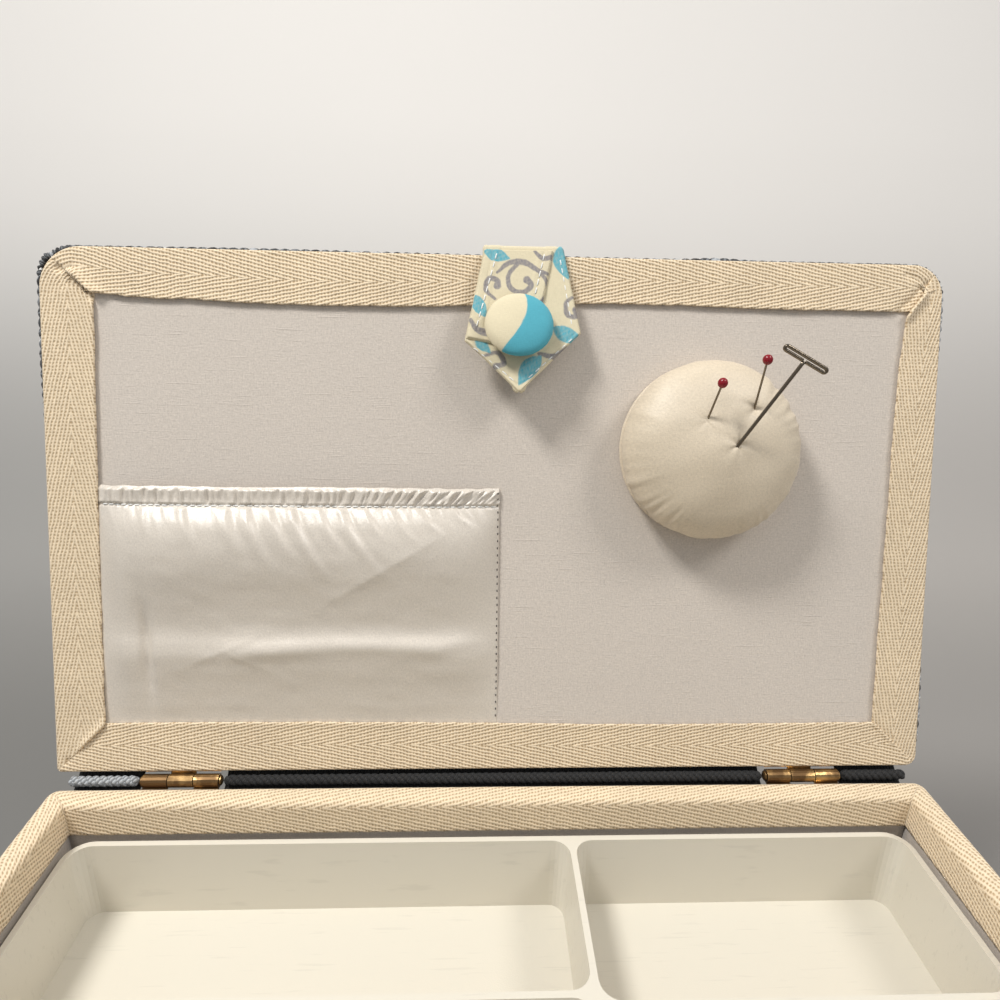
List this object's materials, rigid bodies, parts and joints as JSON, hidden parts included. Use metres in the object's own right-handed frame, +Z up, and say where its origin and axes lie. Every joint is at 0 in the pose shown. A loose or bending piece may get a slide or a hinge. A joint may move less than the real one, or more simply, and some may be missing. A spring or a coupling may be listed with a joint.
{
  "type": "sewing basket",
  "caption": "Lidded woven-cord sewing basket with lined lid, gathered satin pocket, domed pincushion with pins, lift-out tray, folding handle and magnetic tab closure.",
  "frame": {"origin": "middle of the base board's underside, which the basket rests on", "axes": "+Z up, +X to the right seen from the front, -Y to the front; the lid is open, leaning back on its hinges at +Y"},
  "size_m": [0.3224, 0.2576, 0.3177],
  "materials": {
    "twill_tape": "cream herringbone twill, matt",
    "lining_cotton": "plain pale warm grey cotton, matt",
    "ivory_satin": "ivory satin, soft sheen",
    "woven_cord": "twisted cord woven in black, greys and white, matt",
    "printed_cotton": "cream cotton with a small grey and turquoise print",
    "hardboard": "plain brown board",
    "pale_wood": "plain planed wood",
    "old_brass": "antique brass, soft shine",
    "nickel_steel": "bright nickel plated steel",
    "red_glass": "opaque red glass, glossy",
    "card": "cloth covered card",
    "cream_plastic": "cream moulded plastic, satin"
  },
  "bodies": {
    "basket_body": {"base_board": "hardboard", "front_board": "hardboard", "back_board": "hardboard", "left_board": "hardboard", "right_board": "hardboard", "woven_body_skin": "woven_cord", "base_lining": "lining_cotton", "front_lining": "lining_cotton", "back_lining": "lining_cotton", "left_lining": "lining_cotton", "right_lining": "lining_cotton", "rim_tape": "twill_tape", "left_tray_ledge": "pale_wood", "right_tray_ledge": "pale_wood", "left_hinge_body_leaf": "old_brass", "right_hinge_body_leaf": "old_brass", "left_hinge_pin": "old_brass", "right_hinge_pin": "old_brass", "closure_keeper": "nickel_steel", "left_handle_bracket": "old_brass", "right_handle_bracket": "old_brass", "left_pivot_screw": "old_brass", "right_pivot_screw": "old_brass"},
    "lid": {"lid_board": "hardboard", "woven_lid_skin": "woven_cord", "lid_lining": "lining_cotton", "lid_tape_back": "twill_tape", "lid_tape_right": "twill_tape", "lid_tape_front": "twill_tape", "lid_tape_left": "twill_tape", "left_hinge_lid_leaf": "old_brass", "right_hinge_lid_leaf": "old_brass", "lid_pocket": "ivory_satin", "pocket_elastic": "lining_cotton", "pincushion_board": "card", "pincushion": "ivory_satin", "tab_strap": "printed_cotton"},
    "closure_tab": {"tab_under_layer": "printed_cotton", "tab_top_layer": "printed_cotton", "covered_button": "printed_cotton", "closure_magnet": "nickel_steel"},
    "handle": {"left_handle_arm": "old_brass", "right_handle_arm": "old_brass", "handle_grip": "woven_cord"},
    "lift_out_tray": {"tray": "cream_plastic"},
    "ball_pin_1": {"ball_pin_1_shaft": "nickel_steel", "ball_pin_1_head": "red_glass"},
    "ball_pin_2": {"ball_pin_2_shaft": "nickel_steel", "ball_pin_2_head": "red_glass"},
    "t_pin_body": {"t_pin": "nickel_steel"}
  },
  "joints": [
    {"name": "lid_hinge", "type": "hinge", "parent": "basket_body", "child": "lid", "pos_m": [0, 0.09235, 0.14], "axis": [-1, 0, 0], "range_deg": [-105, 0]},
    {"name": "tab_fold", "type": "hinge", "parent": "lid", "child": "closure_tab", "pos_m": [0.0066, 0.1389, 0.31719], "axis": [-1, 0, 0], "range_deg": [-0.1, 87.8]},
    {"name": "handle_swing", "type": "hinge", "parent": "basket_body", "child": "handle", "pos_m": [0, 0, 0.105], "axis": [-1, 0, 0], "range_deg": [0, 123.97]},
    {"name": "tray_lift", "type": "slide", "parent": "basket_body", "child": "lift_out_tray", "axis": [0, 0, 1], "range_m": [0, 0.07]},
    {"name": "ball_pin_1_pull", "type": "slide", "parent": "lid", "child": "ball_pin_1", "axis": [0.0882, -0.4258, 0.9005], "range_m": [0, 0.026]},
    {"name": "ball_pin_2_pull", "type": "slide", "parent": "lid", "child": "ball_pin_2", "axis": [-0.0572, -0.4006, 0.9144], "range_m": [0, 0.026]},
    {"name": "t_pin_pull", "type": "slide", "parent": "lid", "child": "t_pin_body", "axis": [0.4444, -0.1933, 0.8747], "range_m": [0, 0.026]}
  ],
  "couplings": [
    {"joint": "tab_fold", "follows": "lid_hinge", "ratio": -0.83507}
  ]
}
